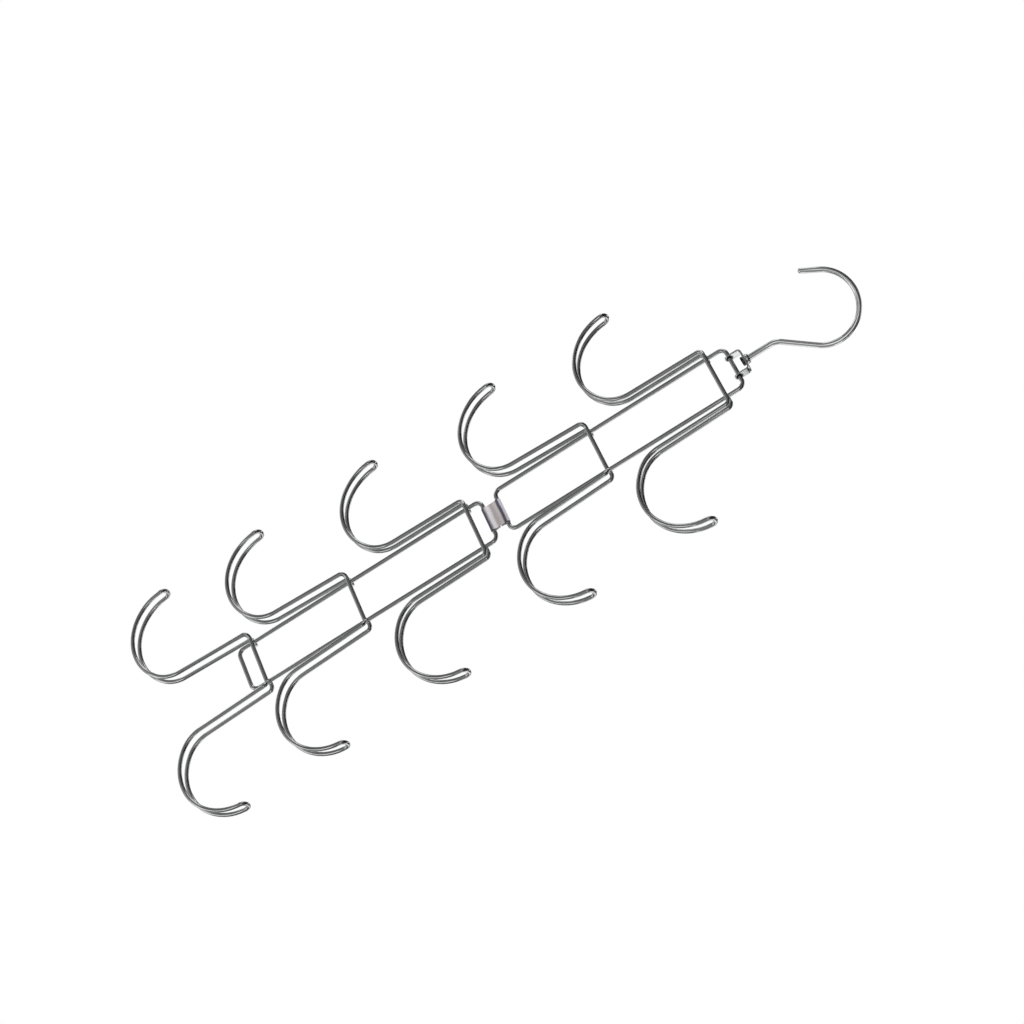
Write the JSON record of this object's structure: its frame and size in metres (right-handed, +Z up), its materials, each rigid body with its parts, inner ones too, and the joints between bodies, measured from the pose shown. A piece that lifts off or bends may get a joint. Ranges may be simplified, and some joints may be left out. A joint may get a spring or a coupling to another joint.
{
  "type": "hanging wire hook organiser",
  "caption": "Chromed wire hanging organiser: a swivel hook carries two hinged ladder frames with rows of double hooks curving out to both sides.",
  "frame": {"origin": "rod seat: on the shank axis of the swivel hook, level with the inside top of the round that hangs on the rod", "axes": "+Z up along the shank, +X along the rungs to the right, -Y to the front where the bridges cross the rails"},
  "size_m": [0.1926, 0.0349, 0.5655],
  "materials": {
    "chrome_wire": "bright chrome plating on drawn steel wire and strip",
    "satin_strip": "satin strip with a warm grey tint"
  },
  "bodies": {
    "hook": {"swivel_hook": "chrome_wire"},
    "stirrup": {"stirrup": "chrome_wire"},
    "upper_section": {"upper_frame": "chrome_wire", "double_hook_1": "chrome_wire", "double_hook_2": "chrome_wire"},
    "link": {"link_sleeve": "satin_strip"},
    "lower_section": {"lower_frame": "chrome_wire", "double_hook_3": "chrome_wire", "double_hook_4": "chrome_wire", "double_hook_5": "chrome_wire"}
  },
  "joints": [
    {"name": "hook_swivel", "type": "hinge", "parent": "hook", "child": "stirrup", "pos_m": [0, 0, -0.0838], "axis": [0, 0, 1], "continuous": true},
    {"name": "upper_swing", "type": "hinge", "parent": "stirrup", "child": "upper_section", "pos_m": [0, 0, -0.093], "axis": [1, 0, 0], "range_deg": [-90, 90]},
    {"name": "link_fold", "type": "hinge", "parent": "upper_section", "child": "link", "pos_m": [0, 0, -0.278], "axis": [1, 0, 0], "range_deg": [-75, 75]},
    {"name": "lower_fold", "type": "hinge", "parent": "link", "child": "lower_section", "pos_m": [0, 0, -0.2892], "axis": [1, 0, 0], "range_deg": [-75, 75]}
  ]
}
